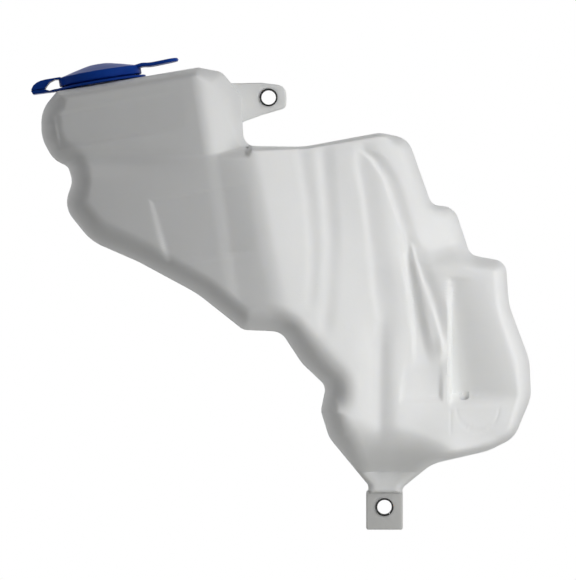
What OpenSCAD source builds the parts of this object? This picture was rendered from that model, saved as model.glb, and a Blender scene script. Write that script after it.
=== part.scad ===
// Blow-moulded fluid tank for an engine bay, with a flip cap on its filler neck.
//
// Frame: +X to the right and +Z up as the tank is seen from its fluted face, +Y away from the
// viewer. Y = 0 is the parting plane of the mould, which runs through both bolt holes.
// The origin is the centre of the lower bolt hole, the tank's lowest fixing.
//
// The tank's body is one loft. Its sections run down from the head to the tab, each a straight
// chord from the left edge to the right edge of the outline, with a front and a back wall that
// stand out from the parting plane by a depth and close along the outline in a soft round.

/* [Tank body] */
// Width of the outline, from the head's left side to the bowl's right side
tank_w = 304; // [270:1:340]
// Height of the outline, from the tab's root to the head's top
tank_h = 267; // [240:1:300]
// Depth of the fluted front at its ridge, ahead of the parting plane
front_depth = 58; // [50:1:66]
// Depth of the plain back behind the parting plane
back_depth = 34; // [28:1:42]
// Thickness of the moulded wall
wall = 2.5; // [2:0.1:3.5]
// How square the rounds along the outline are, 2 being a true ellipse
edge_power = 2.6; // [2:0.1:3.2]

/* [Front face] */
// Height of the flutes on the right flank
flute_h = 2.2; // [1:0.1:3]
// Depth of the slanting channel beside the last flute
channel_h = 4.5; // [2:0.1:6]
// Depth of the groove at the waist, under the head
waist_h = 4; // [2:0.1:6]
// Depth of the valley that runs down to the tab
valley_h = 5; // [2:0.1:7]
// Depth of the pump recess at its foot
recess_h = 15; // [10:0.5:18]
// Depth of the tower at the right, ahead of the parting plane
tower_depth = 29; // [25:1:33]
// How far the bowl under the recess swells out past the tower
bowl_h = 3; // [1:0.5:5]
// Depth of the two bare label fields on the left panel
label_h = 0.8; // [0.4:0.1:1.2]
// Depth of the shallow pocket beside the recess
pocket_h = 2; // [1:0.1:3]

/* [Back face] */
// Depth of the stiffening grooves across the back
back_groove_h = 2.5; // [1.5:0.1:4]

/* [Fixing ears] */
// Thickness of the two pinched fixing ears
ear_t = 6; // [5:0.5:8]
// Outer diameter of the steel sleeves
sleeve_od = 11; // [10:0.5:13]
// Bore of the steel sleeves
sleeve_bore = 9; // [6:0.5:9]
// Length of the steel sleeves
sleeve_len = 8; // [8:0.5:11]
// Radial clearance of a sleeve in its ear
sleeve_gap = 0.05; // [0.02:0.01:0.1]
// Half the width of the lower tab
tab_half_w = 11.5; // [10:0.5:14]

/* [Filler neck] */
// Diameter of the filler opening
neck_bore = 34; // [28:1:36]
// Wall of the filler neck
neck_wall = 2.6; // [2:0.1:3]
// Height of the filler neck above the head
neck_h = 6.2; // [5:0.1:7]
// Tilt of the neck, the cap and the head's top, down towards the left
neck_tilt = 9.4; // [5:0.2:12]
// Height of the collar's seat above the head's top
seat_gap = 0.1; // [0.05:0.05:0.4]
// Diameter of the outlet hole in the shelf of the pump recess
port_d = 6; // [4:0.5:7]
// Length of the outlet hole, which is the thickness of the land around it
port_len = 4; // [3:0.5:6]

/* [Flip cap] */
// Clearance of the collar on the neck
collar_gap = 0.1; // [0.05:0.05:0.3]
// Wall of the collar's barrel
collar_wall = 2.2; // [1.5:0.1:2.5]
// Diameter of the collar's flange
flange_d = 56; // [52:1:60]
// Thickness of the collar's flange
flange_t = 1.4; // [1:0.1:2]
// Diameter of the lid over its skirt
lid_d = 51.5; // [50:0.5:53]
// Wall of the lid and its skirt
lid_wall = 1.6; // [1.2:0.1:2]
// Gap between the skirt's lower edge and the flange
skirt_gap = 1; // [0.5:0.1:2]
// Height of the lid's low dome above its rim
dome_h = 5; // [3:0.5:7]
// Reach of the finger tab past the rim
tab_len = 24; // [16:1:28]
// Width of the finger tab
tab_w = 20; // [14:1:24]
// Thickness of the finger tab
tab_t = 2.2; // [1.6:0.1:3]
// Height of the rim over the skirt's lower edge
skirt_h = 5.2; // [4.6:0.1:6]
// Distance from the neck's axis to the folding hinge line
hinge_reach = 43.4; // [41:0.2:46]
// Height of the fold over the collar's seat
hinge_z = 2.7; // [2.4:0.1:3.2]
// Width of the hinge leaves
hinge_w = 14; // [10:1:20]
// Clearance between pieces that move past each other
run_gap = 0.3; // [0.2:0.05:0.5]

/* [Hidden] */
$fn = 96;

// Outline

// The outline as drawn is design_w wide and design_h high. Both stretch from the origin.
design_w = 304;
design_h = 267;
stretch_x = tank_w / design_w;
stretch_z = tank_h / design_h;
// Where the head's top meets its right side
HEAD_TOP = [-115, 272];
// The head's top is a straight line that falls to the left by the neck's tilt
function head_top(x) = HEAD_TOP[1] - (HEAD_TOP[0] - x) * tan(neck_tilt) * stretch_x / stretch_z;
// Where the head's top ends at the left
TOP_LEFT_X = -202.5;

// Left edge from the head's top down to the tab: x, z, corner radius, section number and the
// width of the edge's round.
LEFT = [
    [TOP_LEFT_X, head_top(TOP_LEFT_X), 3, 0, 8],
    [-213.5, 246, 11, 1, 12],
    [-212.5, 229, 18, 2, 13],
    [-205, 215.5, 11, 3, 13],
    [-194, 211, 5, 3.5, 12],
    [-193, 202, 7, 4, 12],
    [-198.5, 186, 13, 4.7, 13],
    [-184, 165, 31, 5.6, 14],
    [-154.5, 152, 74, 6.7, 14],
    [-117, 132.5, 74, 8, 14],
    [-87.5, 110, 8, 9, 14],
    [-64, 109, 11, 9.6, 18],
    [-50.5, 89.5, 25, 10.2, 22],
    [-36, 75, 7, 11, 20],
    [-40, 59.5, 8, 12, 17],
    [-34, 43, 18, 13.2, 18],
    [-10, 13.5, 4, 15.5, 8],
    [-10, 5, 0, 16, 4],
];
// Right edge, the same way.
RIGHT = [
    [HEAD_TOP[0], HEAD_TOP[1], 5, 0, 8],
    [-101, 269.5, 8, 0.7, 12],
    [-89, 255, 10, 1.5, 14],
    [-87.5, 223.5, 8, 3.6, 11],
    [-50.5, 223, 56, 5.2, 9],
    [-3, 233.5, 16, 7, 9],
    [15, 230, 13, 7.8, 12],
    [29.5, 187.5, 7, 9, 12],
    [43.5, 186.5, 10, 9.5, 11],
    [53, 156.5, 8, 10.2, 11],
    [75.5, 153.5, 8, 10.8, 10],
    [77, 125, 37, 11.4, 14],
    [90, 91, 31, 12.2, 18],
    [91, 68, 20, 12.8, 16],
    [81, 43, 17, 13.6, 14],
    [64, 35.5, 37, 14, 12],
    [29.5, 27, 25, 14.8, 12],
    [12, 12, 4, 15.5, 8],
    [12, 5, 0, 16, 4],
];
SECTION_END = 16;
ARC_STEPS = 3;

// The value a part of the way from a to b
function part_way(a, b, k) = a + (b - a) * k;

// One rounded corner: points as x, z, round width and section number. The round takes at most
// half of the shorter side next to it.
function corner(edge, i) =
    let (p = edge[i], a = edge[i - 1], b = edge[i + 1])
    let (pa = [a[0] - p[0], a[1] - p[1]], pb = [b[0] - p[0], b[1] - p[1]])
    let (la = norm(pa), lb = norm(pb), ua = pa / la, ub = pb / lb)
    let (half = acos(max(-1, min(1, ua * ub))) / 2)
    let (cut = min(p[2] / tan(half), la / 2, lb / 2), r = cut * tan(half))
    let (mid = (ua + ub) / norm(ua + ub), centre = [p[0], p[1]] + mid * (r / sin(half)))
    let (start = [p[0], p[1]] + ua * cut - centre, end = [p[0], p[1]] + ub * cut - centre)
    let (turn = 180 - 2 * half, way = sign(start[0] * end[1] - start[1] * end[0]))
    let (ta = part_way(p[3], a[3], cut / la), tb = part_way(p[3], b[3], cut / lb))
    [for (k = [0 : ARC_STEPS]) let (f = k / ARC_STEPS, w = way * turn * f)
        [centre[0] + start[0] * cos(w) - start[1] * sin(w),
         centre[1] + start[0] * sin(w) + start[1] * cos(w),
         p[4], part_way(ta, tb, f)]];

// A whole edge, with its first and last points kept sharp
function rounded(edge) = concat(
    [[edge[0][0], edge[0][1], edge[0][4], edge[0][3]]],
    [for (i = [1 : len(edge) - 2]) each corner(edge, i)],
    [let (e = edge[len(edge) - 1]) [e[0], e[1], e[4], e[3]]]
);
left_pts = rounded(LEFT);
right_pts = rounded(RIGHT);
function table(pts, col) = [for (p = pts) [p[3], p[col]]];
left_x = table(left_pts, 0);
left_z = table(left_pts, 1);
right_x = table(right_pts, 0);
right_z = table(right_pts, 1);
function left_at(t) = [lookup(t, left_x), lookup(t, left_z)];
function right_at(t) = [lookup(t, right_x), lookup(t, right_z)];

// Depth of the walls

// Soft minimum, soft maximum and soft step, each with its own blending width
function soft_min(a, b, k) = let (h = max(k - abs(a - b), 0) / k) min(a, b) - h * h * k / 4;
function soft_max(a, b, k) = -soft_min(-a, -b, k);
function soft_step(v) = let (c = max(0, min(1, v))) c * c * (3 - 2 * c);
// A crest along a line: wide on its left side, short on its right
function crest(x, line_x, wide, short) =
    let (d = x - line_x) exp(-pow(d / (d < 0 ? wide : short), 2));
// On between two heights, with soft ends
function between(z, low, high, ends) = soft_step((z - low) / ends) * soft_step((high - z) / ends);

// The two ridges where the left panel turns into the right flank, on the head and on the body:
// x, the height where that is, and the lean to the right for each mm further down
HEAD_RIDGE = [-111, HEAD_TOP[1], 0.13];
BODY_RIDGE = [-82, 208, 0.28];
function ridge_x(ridge, z) = ridge[0] + ridge[2] * (ridge[1] - z);

// The left panel has the full depth at the top of the body's ridge. Its slopes are across and up.
PANEL_SLOPES = [0.155, 0.05];
function panel(x, z) = front_depth + PANEL_SLOPES * [x - BODY_RIDGE[0], z - BODY_RIDGE[1]];
// The flanks fall away to the right of the ridges
HEAD_SLOPE = 0.95;
HEAD_DROP = 4;
BODY_SLOPE = 0.45;
function head_flank(x, z) = front_depth - HEAD_DROP - HEAD_SLOPE * (x - ridge_x(HEAD_RIDGE, z));
function body_flank(x, z) = front_depth - BODY_SLOPE * (x - ridge_x(BODY_RIDGE, z));
// Right of the body's flank come the fluted field and the shoulder above the tower: how far each
// lies behind the full depth, at which x, and its slope to the right
FLUTED_FIELD = [16, -50, 0.2];
SHOULDER = [28.5, 12, 0.5];
function side_plane(plane, x) = front_depth - plane[0] - plane[2] * (x - plane[1]);
TOWER_TOP = 158;
TOWER_ROUND = 14;

// Widths over which two forms blend
SHARP_BLEND = 4;
SOFT_BLEND = 6;
HEAD_BLEND = 8;
function head_form(x, z) = soft_min(panel(x, z), head_flank(x, z), HEAD_BLEND);
function right_form(x, z) =
    let (tower = tower_depth * soft_step((TOWER_TOP - z) / TOWER_ROUND))
    let (side = soft_min(side_plane(FLUTED_FIELD, x), side_plane(SHOULDER, x), SOFT_BLEND))
    soft_max(side, tower, SHARP_BLEND);
function body_form(x, z) =
    soft_min(panel(x, z), soft_max(body_flank(x, z), right_form(x, z), SHARP_BLEND), SOFT_BLEND);
function round_off(u) = pow(1 - pow(1 - max(0, min(1, u)), edge_power), 1 / edge_power);
// The body's top shows as a ledge under the head, and runs out to the right of BODY_TOP_X
BODY_TOP = 223;
BODY_TOP_X = -85;
BODY_TOP_ROUND = 10;
function body_top(x) = BODY_TOP + 60 * soft_step((x - BODY_TOP_X) / 15);
function main_form(x, z) = soft_max(head_form(x, z),
    body_form(x, z) * round_off((body_top(x) - z) / BODY_TOP_ROUND), SHARP_BLEND);

// Lines on the front, as height and x
FLUTE_1 = [[124, -50], [136, -48], [168, -47], [184, -48], [197, -51], [218, -59]];
FLUTE_2 = [[110, -34], [161, -34], [197, -37], [214, -42]];
FLUTE_3 = [[100, 0], [115, -3], [156, -6], [197, -13], [216, -18]];
FLUTE_4 = [[97, 18], [115, 17], [152, 11], [179, 6.5], [197, 2], [210, -5], [218, -14]];
LIP = [[107, 37], [113, 33], [129, 29], [143, 25.5], [156, 19], [165, 16.5]];
CHANNEL = [[89, 28.5], [99, 25.5], [118, 21], [140, 16.5], [162, 12]];
// The flutes and the channel's lip: line, part of flute_h, width to the left and to the right,
// lowest and highest point, and length of the soft ends
CRESTS = [
    [FLUTE_1, 0.7, 7, 4, 118, 222, 12],
    [FLUTE_2, 0.6, 7, 4.5, 104, 224, 14],
    [FLUTE_3, 0.8, 8, 5, 92, 226, 14],
    [FLUTE_4, 1.1, 10, 4, 88, 226, 12],
    [LIP, 0.7, 4.5, 5, 100, 170, 10],
];
function total(list) = list * [for (value = list) 1];
function flutes(x, z) = flute_h * total([for (c = CRESTS)
    c[1] * crest(x, lookup(z, c[0]), c[2], c[3]) * between(z, c[4], c[5], c[6])]);

// What is sunk: the channel beside the last flute, the waist under the head, and the valley
function dip(distance, width) = exp(-pow(distance / width, 2));
CHANNEL_WIDTH = 5;
WAIST_Z = 213;
WAIST_WIDTH = 6;
VALLEY_X = 2;
VALLEY_WIDTH = 6.5;
function channel(x, z) =
    channel_h * dip(x - lookup(z, CHANNEL), CHANNEL_WIDTH) * between(z, 84, 172, 12);
function waist(x, z) = waist_h * dip(z - WAIST_Z, WAIST_WIDTH) * soft_step((-115 - x) / 60);
function valley(x, z) = valley_h * dip(x - VALLEY_X, VALLEY_WIDTH) * between(z, 26, 118, 20);
// The bowl swells out below the tower
function bowl(x, z) = bowl_h * soft_step((SHELF_Z + 4 - z) / 22) * soft_step((x - 14) / 30);
// Both walls run together into the tab
TAB_ROOT_Z = 22;
TAB_ROOT_HALF_W = 20;
function funnel(x, z) =
    ear_t / 2 + 1.15 * max(0, z - TAB_ROOT_Z) + 0.6 * max(0, abs(x) - TAB_ROOT_HALF_W);

function front(x, z) = soft_min(funnel(x, z),
    main_form(x, z) + flutes(x, z) + bowl(x, z)
    - channel(x, z) - waist(x, z) - valley(x, z), SOFT_BLEND);
// Heights of the grooves across the back at x = 0, their width and how they climb to the right
BACK_GROOVES = [96, 150];
BACK_GROOVE_WIDTH = 6;
BACK_GROOVE_SLOPE = 0.1;
function back_groove(x, z) =
    max([for (g = BACK_GROOVES) dip(z - g - BACK_GROOVE_SLOPE * x, BACK_GROOVE_WIDTH)]);
function back(x, z) =
    soft_min(funnel(x, z), back_depth - back_groove_h * back_groove(x, z), SOFT_BLEND);

// How far into the edge's round a point lies: 0 on the outline, 1 or more on the full depth.
// inset moves the outline inwards, as the inside of the wall needs it.
outline_pts = concat(left_pts, [for (i = [len(right_pts) - 1 : -1 : 0]) right_pts[i]]);
function side_distance(p, a, b) =
    let (ab = [b[0] - a[0], b[1] - a[1]], ap = [p[0] - a[0], p[1] - a[1]])
    let (k = max(0, min(1, (ap * ab) / max(0.0001, ab * ab)))) norm(ap - ab * k);
function edge_depth(p, inset) = min([for (i = [0 : len(outline_pts) - 1])
    let (a = outline_pts[i], b = outline_pts[(i + 1) % len(outline_pts)])
    (side_distance(p, a, b) - inset) / max(1, a[2] - inset)]);

// Sections

// Places along a chord: close together in the round at each end, even between
ROUND_STEPS = [0, 0.02, 0.08, 0.2, 0.4, 0.7, 1];
ROUND_ZONE = 15;
OUTER_MIDDLE = 18;
INNER_MIDDLE = 5;
function chord_places(chord, middle) =
    let (zone = min(ROUND_ZONE, 0.3 * chord), n = len(ROUND_STEPS) - 1)
    concat([for (s = ROUND_STEPS) s * zone],
           [for (j = [1 : middle - 1]) zone + (chord - 2 * zone) * j / middle],
           [for (i = [n : -1 : 0]) chord - ROUND_STEPS[i] * zone]);
function point_on(a, b, along) = a + (b - a) * (along / norm(b - a));

// A closed ring: the front wall from left to right, then the back wall from right to left
function outer_ring(t, flat) =
    let (a = left_at(t), b = right_at(t), places = chord_places(norm(b - a), OUTER_MIDDLE))
    let (pts = [for (s = places) point_on(a, b, s)])
    let (rise = [for (p = pts) flat ? 0 : round_off(edge_depth(p, 0))])
    concat([for (j = [0 : len(pts) - 1]) let (p = pts[j]) [p[0], -front(p[0], p[1]) * rise[j], p[1]]],
           [for (j = [len(pts) - 2 : -1 : 1]) let (p = pts[j]) [p[0], back(p[0], p[1]) * rise[j], p[1]]]);

SECTIONS = concat([0, 0.02, 0.08, 0.2, 0.35, 0.6, 0.9],
    [for (t = [1.2 : 0.28 : SECTION_END - 0.1]) t], [SECTION_END]);

// Skins a list of rings that all have the same number of points
function skin_faces(rings, n) = [for (i = [0 : rings - 2]) for (j = [0 : n - 1])
    let (a = i * n + j, b = i * n + (j + 1) % n) each [[a, b, a + n], [b, b + n, a + n]]];
function stretched(p) = [p[0] * stretch_x, p[1], p[2] * stretch_z];
module loft(rings) {
    n = len(rings[0]);
    polyhedron([for (r = rings) for (p = r) stretched(p)], skin_faces(len(rings), n), convexity = 10);
}

module outer_body() {
    loft([for (t = SECTIONS) outer_ring(t, t == 0 || t == SECTION_END)]);
}

// The recess in front of the tower, for a pump: a steep left wall, a floor that runs out to the
// right, and a flat shelf at its foot. grow makes it larger all round.
// Its depth and the width of its floor's slope are given at the shelf and at the top.
RECESS_TOP = 142;
RECESS_TOP_DEPTH = 2.5;
RECESS_SLOPE_W = [32, 8];
SHELF_Z = 66;
RECESS_X = 41;
RECESS_OUT = 75;
function recess_section(z, deep, wide, grow) =
    let (floor_y = deep - tower_depth + grow, run = (RECESS_OUT + floor_y) * wide / deep)
    [[RECESS_X - grow, -RECESS_OUT, z], [RECESS_X + 2 - grow, floor_y - 6, z],
     [RECESS_X + 5, floor_y, z], [RECESS_X + 9, floor_y - 0.5, z],
     [RECESS_X + 9 + run, -RECESS_OUT, z]];
module recess(grow) {
    hull()
        polyhedron([for (p = concat(
            recess_section(SHELF_Z - grow, recess_h, RECESS_SLOPE_W[0], grow),
            recess_section(RECESS_TOP + grow, RECESS_TOP_DEPTH, RECESS_SLOPE_W[1], grow)))
            stretched(p)],
            [[0, 1, 2, 3, 4], [9, 8, 7, 6, 5]]);
}

// A shallow field sunk into the front: its corners as x and z, anticlockwise from the lower left.
// It has drafted sides, and grow makes it larger all round.
FIELD_OUT = 6;
FIELD_DRAFT = 1.2;
function towards(p, c, far) = p + (c - p) * (far / norm(c - p));
module field(corners, depth, grow) {
    c = (corners[0] + corners[1] + corners[2] + corners[3]) / 4;
    foot = [for (p = corners) let (q = towards(p, c, FIELD_DRAFT - grow)) stretched([q[0], depth(q), q[1]])];
    rim = [for (p = corners) let (q = towards(p, c, -FIELD_DRAFT - grow))
        stretched([q[0], depth(q) - FIELD_OUT, q[1]])];
    polyhedron(concat(foot, rim), [[0, 1, 2], [0, 2, 3], [4, 6, 5], [4, 7, 6], [0, 4, 5], [0, 5, 1],
        [1, 5, 6], [1, 6, 2], [2, 6, 7], [2, 7, 3], [3, 7, 4], [3, 4, 0]]);
}
UPPER_LABEL = [[-199.3, 221.4], [-121.8, 233.2], [-125.6, 255.4], [-203, 241.8]];
LOWER_LABEL = [[-133, 150.7], [-79, 158.1], [-84.6, 198.4], [-143.5, 189.1]];
POCKET = [[15, 66], [34, 68.5], [35.5, 91], [15.5, 97]];
module fields(grow) {
    for (corners = [UPPER_LABEL, LOWER_LABEL])
        field(corners, function (q) label_h + grow - panel(q[0], q[1]), grow);
    field(POCKET, function (q) pocket_h + grow - right_form(q[0], q[1]), grow);
}

// The inside follows the outside a wall further in. It keeps clear of the flutes and grooves by
// looking a little way to each side for the lowest depth.
INNER_START = 0.45;
INNER_END = 14.6;
INNER_SECTIONS = concat([INNER_START, INNER_START + 0.15],
    [for (t = [0.9 : 0.35 : INNER_END - 0.1]) t], [INNER_END]);
INNER_LOOK = 4;
// Least share of the depth that a point of the inside keeps, so that its walls never touch
INNER_LEAST = 0.12;
NEIGHBOURS = [for (i = [-1 : 1]) for (j = [-1 : 1]) [i, j] * INNER_LOOK];
function lowest_front(p) = min([for (n = NEIGHBOURS) front(p[0] + n[0], p[1] + n[1])]);
function lowest_back(p) = min([for (n = NEIGHBOURS) back(p[0] + n[0], p[1] + n[1])]);
// Walks in from a chord's end until the point lies a wall's thickness inside the outline
function walk_in(a, b, along, steps) = steps == 0 ? along :
    walk_in(a, b, along + 1.1 * max(0, 0.02 - edge_depth(point_on(a, b, along), wall)) * 12, steps - 1);
function inner_ring(t, flat) =
    let (a = left_at(t), b = right_at(t), chord = norm(b - a))
    let (la = walk_in(a, b, wall, 4), lb = walk_in(b, a, wall, 4))
    let (pa = point_on(a, b, la), pb = point_on(a, b, chord - lb))
    let (places = chord_places(norm(pb - pa), INNER_MIDDLE), last = len(places) - 1)
    let (pts = [for (s = places) point_on(pa, pb, s)])
    let (rise = [for (j = [0 : last])
        (flat || j == 0 || j == last) ? 0 : max(INNER_LEAST, round_off(edge_depth(pts[j], wall)))])
    concat([for (j = [0 : last]) let (p = pts[j])
                [p[0], -max(0.1, lowest_front(p) - wall) * rise[j], p[1]]],
           [for (j = [last - 1 : -1 : 1]) let (p = pts[j])
                [p[0], max(0.1, lowest_back(p) - wall) * rise[j], p[1]]]);
// Solid land left round the outlet hole
PORT_LAND = 2;
module cavity() {
    difference() {
        loft([for (t = INNER_SECTIONS) inner_ring(t, t == INNER_START || t == INNER_END)]);
        recess(wall);
        fields(wall);
        translate(PORT_AT - [0, 0, port_len])
            cylinder(r = port_d / 2 + PORT_LAND, h = port_len);
    }
}

// Places that other pieces share

// Centre of the neck on the head's top
NECK_X = -175.5;
NECK_AT = [NECK_X * stretch_x, 0, head_top(NECK_X) * stretch_z + seat_gap];
UPPER_HOLE = [-71.8 * stretch_x, 0, 253.8 * stretch_z];
// The outlet hole stands in the middle of the shelf
PORT_X = 48.9;
PORT_SHARE = 0.55;
PORT_AT = [PORT_X * stretch_x, PORT_SHARE * recess_h - tower_depth, SHELF_Z * stretch_z];
module at_neck() {
    translate(NECK_AT)
        rotate([0, -neck_tilt, 0])
            children();
}
module along_y(length) {
    rotate([90, 0, 0])
        linear_extrude(length, center = true)
            children();
}
neck_r = neck_bore / 2 + neck_wall;

// Tank

// Outline of the upper ear, which tapers away from the head, and of the tab below
UPPER_EAR = [[-96, 262], [-76, 262.9], [-66, 261.4], [-61.5, 258], [-60.6, 254], [-61, 249.5],
    [-63.5, 246.8], [-76, 243], [-86, 239.5], [-96, 237]];
TAB_FOOT = -14;
TAB_TOP = 26;
module upper_ear() {
    along_y(ear_t)
        polygon([for (p = UPPER_EAR) [p[0] * stretch_x, p[1] * stretch_z]]);
}
module lower_tab() {
    along_y(ear_t)
        polygon([[-tab_half_w, TAB_FOOT + 1], [-tab_half_w + 1, TAB_FOOT],
            [tab_half_w - 1, TAB_FOOT], [tab_half_w, TAB_FOOT + 1],
            [tab_half_w, TAB_TOP * stretch_z], [-tab_half_w, TAB_TOP * stretch_z]]);
}
module sleeve_hole(at) {
    translate(at)
        rotate([90, 0, 0])
            cylinder(r = sleeve_od / 2 + sleeve_gap, h = ear_t + 8, center = true);
}
// How far the neck reaches down into the head, so that the two are one
NECK_ROOT = 8;
module tank() {
    color("white")
    difference() {
        union() {
            difference() {
                outer_body();
                recess(0);
                fields(0);
            }
            upper_ear();
            lower_tab();
            at_neck()
                translate([0, 0, -NECK_ROOT / 2])
                    cylinder(r = neck_r, h = neck_h + NECK_ROOT / 2);
        }
        cavity();
        at_neck()
            translate([0, 0, -2 * NECK_ROOT])
                cylinder(d = neck_bore, h = neck_h + 3 * NECK_ROOT);
        sleeve_hole([0, 0, 0]);
        sleeve_hole(UPPER_HOLE);
        translate(PORT_AT - [0, 0, port_len + 1])
            cylinder(d = port_d, h = port_len + 2);
    }
}

// Flip cap: the collar clips round the neck, and the lid folds on its hinge leaf

flange_r = flange_d / 2;
lid_r = lid_d / 2;
// The two leaves close an eye between the fold and the rim. A point of a leaf is given by its
// part of the way from the fold to the flange and its height over the collar's seat.
loop_len = hinge_reach - flange_r;
function leaf_points(points) = [for (p = points) [p[0] * loop_len - hinge_reach, p[1]]];
module hinge_leaf(points) {
    along_y(hinge_w)
        polygon(points);
}
barrel_r = neck_r + collar_gap + collar_wall;
module cap_collar() {
    color("midnightblue")
    at_neck()
    difference() {
        union() {
            cylinder(r = flange_r, h = flange_t);
            cylinder(r = barrel_r, h = neck_h);
            hinge_leaf(leaf_points([[0, hinge_z - run_gap / 2], [0.05, 0.5], [0.85, 0], [1.2, 0],
                [1.2, flange_t], [0.93, flange_t], [0.73, flange_t - 0.4], [0.58, hinge_z - 0.5],
                [0.52, hinge_z - run_gap / 2]]));
        }
        translate([0, 0, -NECK_ROOT])
            cylinder(r = neck_r + collar_gap, h = neck_h + 2 * NECK_ROOT);
    }
}
skirt_z = flange_t + skirt_gap;
rim_z = skirt_z + skirt_h;
plug_r = neck_bore / 2 - run_gap;
// How far the plug ring reaches down into the neck
PLUG_DEEP = 5;
TAB_RISE = 0.8;
LEAF_RISE = 0.7;
module cap_lid() {
    color("royalblue")
    at_neck() {
        rotate_extrude()
            polygon([[lid_r - lid_wall, skirt_z], [lid_r, skirt_z], [lid_r, rim_z],
                [lid_r * 0.86, rim_z + dome_h * 0.16], [lid_r * 0.32, rim_z + dome_h * 0.86],
                [lid_r * 0.2, rim_z + dome_h * 0.97], [0, rim_z + dome_h],
                [0, rim_z + dome_h - lid_wall], [lid_r * 0.3, rim_z + dome_h * 0.86 - lid_wall],
                [plug_r - lid_wall, rim_z + dome_h * 0.3 - lid_wall],
                [plug_r - lid_wall, neck_h - PLUG_DEEP], [plug_r, neck_h - PLUG_DEEP + 0.8],
                [plug_r, neck_h + run_gap], [lid_r - lid_wall, neck_h + run_gap]]);
        translate([0, 0, rim_z - tab_t + TAB_RISE])
            linear_extrude(tab_t)
                polygon(concat([[lid_r - 3, -tab_w / 2], [lid_r - 3, tab_w / 2]],
                    [for (a = [80 : -20 : -80]) [lid_r + tab_len - tab_w * 0.35 + tab_w * 0.35 * cos(a),
                        tab_w / 2 * sin(a)]]));
        hinge_leaf(concat(leaf_points([[0.04, hinge_z + run_gap / 2], [0.01, hinge_z + 0.8],
            [0.12, hinge_z + 3.1], [0.28, rim_z - 0.3], [0.44, rim_z + 0.4], [0.66, rim_z + LEAF_RISE]]),
            [[-lid_r + lid_wall, rim_z + LEAF_RISE], [-lid_r + lid_wall, neck_h + 0.7]],
            leaf_points([[1, rim_z - 0.3], [0.78, neck_h], [0.64, hinge_z + 1.6],
            [0.56, hinge_z + run_gap / 2]])));
    }
}

// Steel sleeves, which take the bolts' clamping load off the plastic ears

module sleeve() {
    color("silver")
    rotate([90, 0, 0])
        difference() {
            cylinder(d = sleeve_od, h = sleeve_len, center = true);
            cylinder(d = sleeve_bore, h = sleeve_len + 2, center = true);
        }
}
module upper_sleeve() {
    translate(UPPER_HOLE)
        sleeve();
}
module lower_sleeve() {
    sleeve();
}

tank();
cap_collar();
cap_lid();
upper_sleeve();
lower_sleeve();
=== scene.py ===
# %% [markdown]
# # A blow-moulded fluid tank with a flip cap
#
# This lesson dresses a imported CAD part, a translucent fluid tank from an engine bay, for a
# product picture. The CAD model gives the places and sizes. Here each visible piece is made again
# as a fine mesh with soft edges and a worked-out finish, in metres and in the same frame:
# +X to the right, +Z up, +Y away from the viewer, and the origin in the lower bolt hole.

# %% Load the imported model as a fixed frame
import math

import bpy
import bmesh
import numpy as np
from mathutils import Matrix, Vector


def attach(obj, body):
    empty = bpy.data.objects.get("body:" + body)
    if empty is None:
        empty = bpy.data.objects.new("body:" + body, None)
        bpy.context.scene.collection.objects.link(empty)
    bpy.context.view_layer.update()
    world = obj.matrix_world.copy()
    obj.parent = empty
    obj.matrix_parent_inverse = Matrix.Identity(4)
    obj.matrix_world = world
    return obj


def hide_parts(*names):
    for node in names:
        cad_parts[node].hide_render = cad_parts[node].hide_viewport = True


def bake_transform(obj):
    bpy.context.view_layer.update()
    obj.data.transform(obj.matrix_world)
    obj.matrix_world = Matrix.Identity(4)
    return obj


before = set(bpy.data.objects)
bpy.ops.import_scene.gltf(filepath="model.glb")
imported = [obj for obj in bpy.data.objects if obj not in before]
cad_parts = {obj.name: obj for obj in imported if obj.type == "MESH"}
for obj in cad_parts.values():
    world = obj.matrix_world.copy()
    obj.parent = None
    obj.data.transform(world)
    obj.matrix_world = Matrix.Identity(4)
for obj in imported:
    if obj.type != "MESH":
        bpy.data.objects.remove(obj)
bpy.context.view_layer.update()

# %% [markdown]
# The drawing below is in millimetres, because moulded parts are drawn in millimetres. One helper
# turns a table of points and faces into a mesh in metres. Every object stays at the origin,
# unturned, with its place in its vertices, as the CAD nodes do.

# %% Small helpers for meshes
MM = 0.001


def new_object(name, mesh):
    """Puts a mesh into the scene as an object at the origin."""
    thing = bpy.data.objects.new(name, mesh)
    bpy.context.scene.collection.objects.link(thing)
    return thing


def solid(name, points, faces):
    """A closed shell from points in millimetres, with doubles merged and faces turned outwards."""
    mesh = bpy.data.meshes.new(name)
    mesh.from_pydata((np.asarray(points, float) * MM).tolist(), [], faces)
    work = bmesh.new()
    work.from_mesh(mesh)
    bmesh.ops.remove_doubles(work, verts=work.verts, dist=0.002 * MM)
    bmesh.ops.recalc_face_normals(work, faces=work.faces)
    open_edges = sum(1 for e in work.edges if len(e.link_faces) != 2)
    work.to_mesh(mesh)
    work.free()
    print(f"{name}: {len(mesh.vertices)} points, {len(mesh.polygons)} faces, {open_edges} open edges")
    return new_object(name, mesh)


def combine(target, tool, operation):
    """Adds a closed shell to another or cuts it out, and removes the tool."""
    modifier = target.modifiers.new("combine", "BOOLEAN")
    modifier.operation = operation
    modifier.solver = "MANIFOLD"
    modifier.object = tool
    with bpy.context.temp_override(object=target, active_object=target, selected_objects=[target]):
        bpy.ops.object.modifier_apply(modifier=modifier.name)
    tool_mesh = tool.data
    bpy.data.objects.remove(tool)
    bpy.data.meshes.remove(tool_mesh)


def smooth(thing, angle_deg):
    """Smooth shading that stays sharp across edges steeper than the angle."""
    thing.data.shade_smooth()
    thing.data.set_sharp_from_angle(angle=math.radians(angle_deg))


print("one millimetre is", MM, "of Blender's units")

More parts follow.
